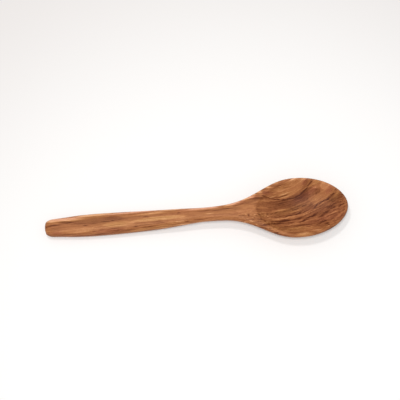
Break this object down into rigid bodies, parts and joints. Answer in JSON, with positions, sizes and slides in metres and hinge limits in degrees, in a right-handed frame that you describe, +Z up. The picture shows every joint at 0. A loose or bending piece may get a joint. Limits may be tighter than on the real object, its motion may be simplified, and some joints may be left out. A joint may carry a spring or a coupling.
{
  "type": "wooden spoon",
  "caption": "Carved wooden cooking spoon with an egg-shaped bowl, a slim arched neck and a rounded, slightly swelling handle.",
  "frame": {"origin": "on the table, under the middle of the spoon's box, with the spoon lying on its back", "axes": "+X from the handle's end towards the bowl's tip, +Y across the spoon, +Z up, out of the hollow"},
  "size_m": [0.3, 0.0604, 0.0236],
  "materials": {
    "olive_wood": "sanded smooth and lightly oiled, satin"
  },
  "bodies": {
    "root": {"spoon": "olive_wood"}
  },
  "joints": []
}
